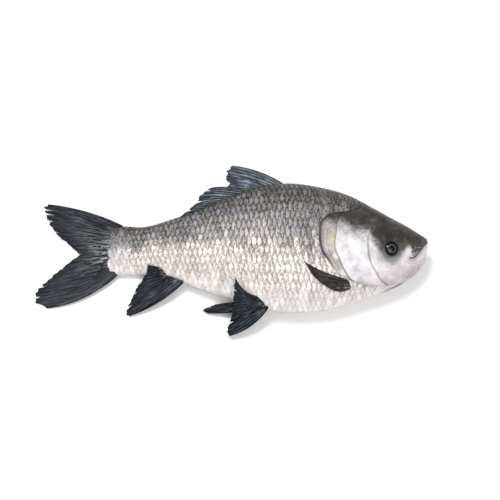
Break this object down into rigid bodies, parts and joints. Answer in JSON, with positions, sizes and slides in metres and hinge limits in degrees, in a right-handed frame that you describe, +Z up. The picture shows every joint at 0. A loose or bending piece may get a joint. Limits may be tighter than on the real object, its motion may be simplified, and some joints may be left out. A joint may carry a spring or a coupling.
{
  "type": "whole raw fish",
  "caption": "Whole raw deep-bodied carp lying on its left side, with gill covers, eyes and all of its fins.",
  "frame": {"origin": "middle of the bounding box, at the surface that the left flank rests on", "axes": "+X towards the snout, +Y towards the back, +Z up out of the right flank"},
  "size_m": [0.4842, 0.209, 0.0798],
  "materials": {
    "skin": "wet, glossy overlapping scales, dark along the back and silver to pinkish white below",
    "eye": "wet and clear over a black pupil",
    "fin": "damp slate-grey membrane over fine bony rays",
    "pectoral_fin": "damp dark brown-grey membrane over fine bony rays"
  },
  "bodies": {
    "root": {"body": "skin", "right_eye": "eye", "left_eye": "eye", "dorsal_fin": "fin", "tail_fin": "fin", "anal_fin": "fin", "right_pectoral_fin": "pectoral_fin", "left_pectoral_fin": "pectoral_fin", "right_pelvic_fin": "fin", "left_pelvic_fin": "fin"}
  },
  "joints": []
}
